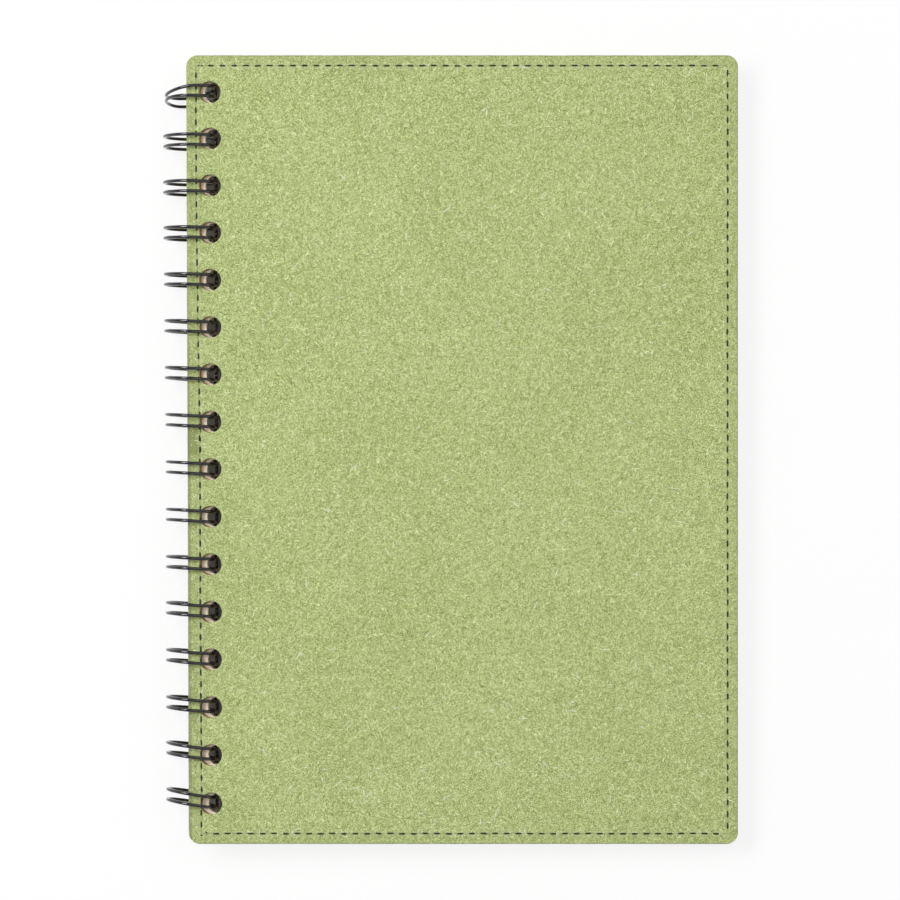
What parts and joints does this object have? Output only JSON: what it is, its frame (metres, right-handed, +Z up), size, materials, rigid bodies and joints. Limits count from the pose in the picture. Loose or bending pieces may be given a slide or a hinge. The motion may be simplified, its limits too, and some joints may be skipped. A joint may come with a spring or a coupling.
{
  "type": "spiral notebook",
  "caption": "Portrait notebook with stitched felt-faced board covers, pages in one block and a twin-loop wire binding along its left edge.",
  "frame": {"origin": "middle of the notebook's footprint, on the surface that the wire loops stand on", "axes": "+X from the spine to the fore-edge, +Y from the tail to the head, +Z up through the front cover"},
  "size_m": [0.1536, 0.2112, 0.0142],
  "materials": {
    "felt": "matte felt-like fibre sheet, yellow-green",
    "board": "plain brown board",
    "thread": "dark olive sewing thread",
    "paper": "uncoated cream paper",
    "wire": "gloss black coated steel wire"
  },
  "bodies": {
    "bound_pages": {"page_block": "paper", "twin_loop_wire": "wire"},
    "front_cover": {"front_cover_skin": "felt", "front_cover_board": "board", "front_cover_stitching": "thread"},
    "back_cover": {"back_cover_board": "board", "back_cover_skin": "felt", "back_cover_stitching": "thread"}
  },
  "joints": [
    {"name": "front_cover_turn", "type": "hinge", "parent": "bound_pages", "child": "front_cover", "pos_m": [-0.06971, 0, 0.00969], "axis": [0, -1, 0], "range_deg": [0, 180]},
    {"name": "back_cover_turn", "type": "hinge", "parent": "bound_pages", "child": "back_cover", "pos_m": [-0.06971, 0, 0.00449], "axis": [0, 1, 0], "range_deg": [0, 180]}
  ]
}
